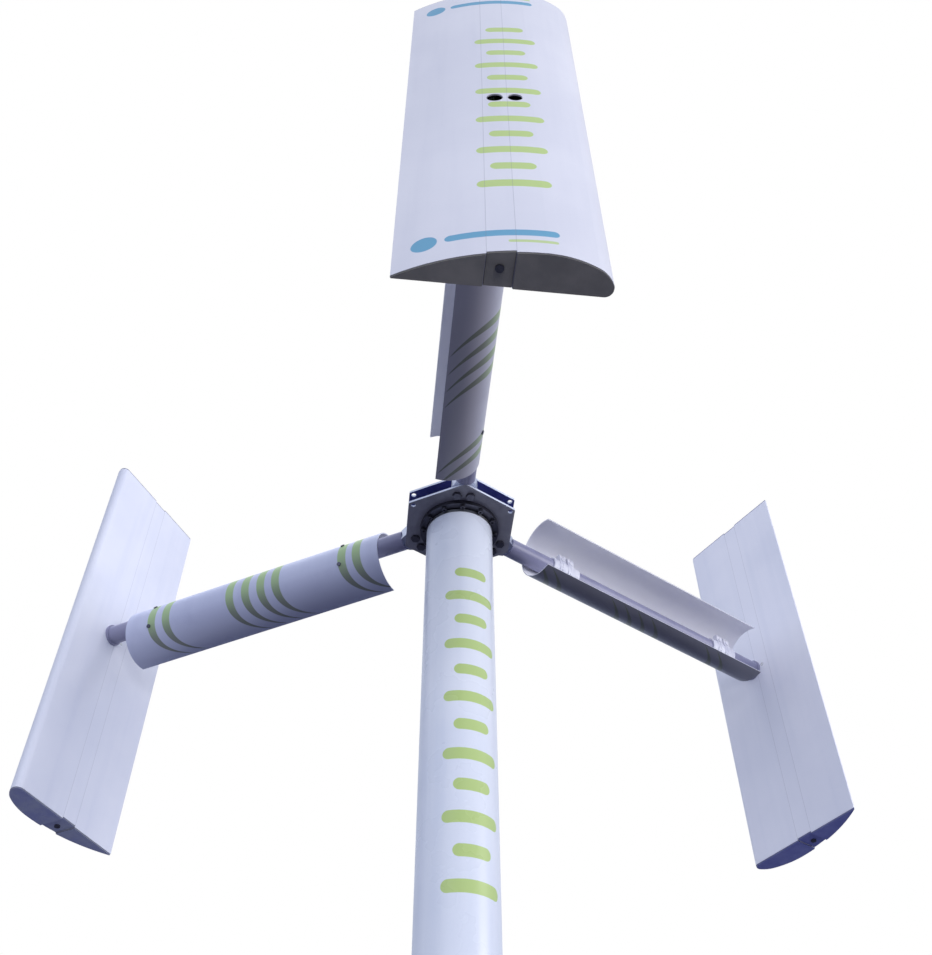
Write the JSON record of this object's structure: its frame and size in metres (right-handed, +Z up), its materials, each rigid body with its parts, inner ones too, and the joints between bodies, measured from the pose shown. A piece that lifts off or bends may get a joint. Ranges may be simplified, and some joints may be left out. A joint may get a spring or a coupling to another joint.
{
  "type": "small vertical-axis wind turbine",
  "caption": "Vertical-axis wind turbine: upright aerofoil blades and half-pipe starter cups on radial arms, turning on a generator set in the head of a flanged tubular mast.",
  "frame": {"origin": "centre of the underside of the mast's base flange, on the mast axis", "axes": "+Z up along the mast and rotor axis; the first arm points along -Y at rest; the rotor turns from +X towards +Y"},
  "size_m": [1.7335, 1.5588, 2.575],
  "materials": {
    "mast_paint": "satin",
    "base_galvanised": "matt zinc grey",
    "stainless": "satin",
    "hub_plate": "satin dark, edges left bright",
    "hub_metal": "machined",
    "arm_paint": "satin",
    "blade_paint": "satin",
    "blade_cap": "fine texture",
    "cup_paint": "satin with plain stripes",
    "clip_plastic": "moulded",
    "housing": "machined",
    "shaft_steel": "ground",
    "bearing_steel": "polished",
    "cage_brass": "pressed",
    "lamination": "stacked sheet",
    "copper": "enamelled copper wire",
    "magnet": "nickel plated",
    "seal_rubber": "matt",
    "terminal_plastic": "moulded"
  },
  "bodies": {
    "root": {"base_flange": "base_galvanised", "base_gussets": "base_galvanised", "mast_screws": "stainless", "mast_tube": "mast_paint", "generator_housing": "housing", "generator_lower_cap": "housing", "lower_cap_screws": "stainless", "stator_core": "lamination", "stator_windings": "copper", "shaft_seal": "seal_rubber", "terminal_block": "terminal_plastic", "upper_bearing_outer": "bearing_steel", "lower_bearing_outer": "bearing_steel"},
    "ball_cages": {"upper_bearing_balls": "bearing_steel", "upper_bearing_cage": "cage_brass", "lower_bearing_balls": "bearing_steel", "lower_bearing_cage": "cage_brass"},
    "rotor": {"upper_bearing_inner": "bearing_steel", "lower_bearing_inner": "bearing_steel", "shaft_key": "shaft_steel", "shaft_circlip": "shaft_steel", "main_shaft": "shaft_steel", "magnet_carrier": "lamination", "rotor_magnets": "magnet", "hub_flange_screws": "stainless", "root_bolts": "stainless", "root_nuts": "stainless", "hub_flange": "hub_metal", "hub_plate_lower": "hub_plate", "hub_plate_upper": "hub_plate", "hub_spacer": "hub_metal", "shaft_washer": "stainless", "shaft_nut": "stainless", "arm_root_blocks": "hub_metal", "blade_bolts": "stainless", "joint_plates": "hub_metal", "arm_flanges": "arm_paint", "cup_screws": "stainless", "cup_clips": "clip_plastic", "cap_screws": "stainless", "arm_tube_1": "arm_paint", "cup_1": "cup_paint", "blade_nose_1": "blade_paint", "blade_spar_1": "blade_paint", "blade_tail_1": "blade_paint", "blade_caps_1": "blade_cap", "arm_tube_2": "arm_paint", "cup_2": "cup_paint", "blade_nose_2": "blade_paint", "blade_spar_2": "blade_paint", "blade_tail_2": "blade_paint", "blade_caps_2": "blade_cap", "arm_tube_3": "arm_paint", "cup_3": "cup_paint", "blade_nose_3": "blade_paint", "blade_spar_3": "blade_paint", "blade_tail_3": "blade_paint", "blade_caps_3": "blade_cap"}
  },
  "joints": [
    {"name": "rotor_spin", "type": "hinge", "parent": "root", "child": "rotor", "pos_m": [0, 0, 2.1], "axis": [0, 0, 1], "continuous": true},
    {"name": "ball_cage_spin", "type": "hinge", "parent": "root", "child": "ball_cages", "pos_m": [0, 0, 1.97], "axis": [0, 0, 1], "continuous": true}
  ],
  "couplings": [
    {"joint": "ball_cage_spin", "follows": "rotor_spin", "ratio": 0.4}
  ]
}
